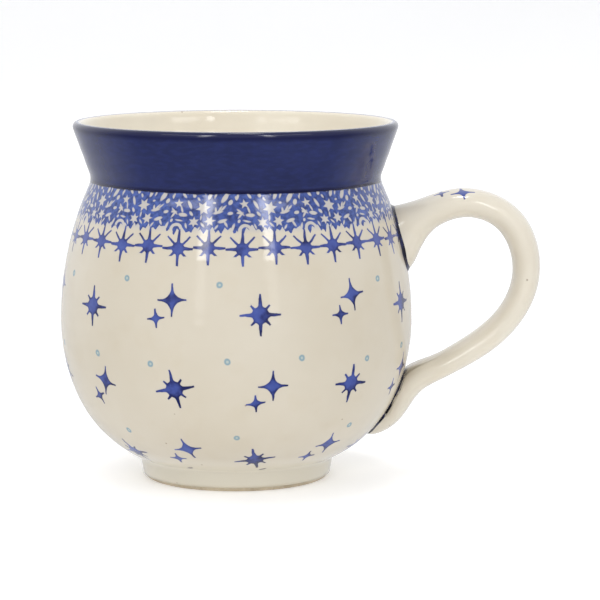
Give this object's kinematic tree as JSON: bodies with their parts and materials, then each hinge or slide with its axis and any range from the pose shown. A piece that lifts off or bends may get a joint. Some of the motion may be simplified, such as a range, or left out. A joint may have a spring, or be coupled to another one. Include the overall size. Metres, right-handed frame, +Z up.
{
  "type": "stoneware mug",
  "caption": "Round-bellied stoneware mug with a small foot ring, a flared cobalt collar and a pressed ear handle, for hot drinks.",
  "frame": {"origin": "on the mug's axis at the table, in the plane of the foot ring", "axes": "+Z up along the mug's axis, +X through the middle of the handle"},
  "size_m": [0.1344, 0.0984, 0.1],
  "materials": {
    "bare_stoneware": "bare fired stoneware",
    "handle_stoneware": "bare fired stoneware",
    "slip": "fired slip",
    "cobalt_line": "gloss",
    "cobalt_glaze": "gloss",
    "stamped_glaze": "gloss, stamped in cobalt",
    "handle_glaze": "gloss",
    "liner_glaze": "gloss",
    "base_glaze": "gloss"
  },
  "bodies": {
    "root": {"mug_body": "bare_stoneware", "handle": "handle_stoneware", "upper_handle_lute": "slip", "lower_handle_lute": "slip", "upper_joint_line": "cobalt_line", "lower_joint_line": "cobalt_line", "cobalt_collar_band": "cobalt_glaze", "body_glaze": "stamped_glaze", "handle_glaze": "handle_glaze", "interior_glaze": "liner_glaze", "base_glaze": "base_glaze"}
  },
  "joints": []
}
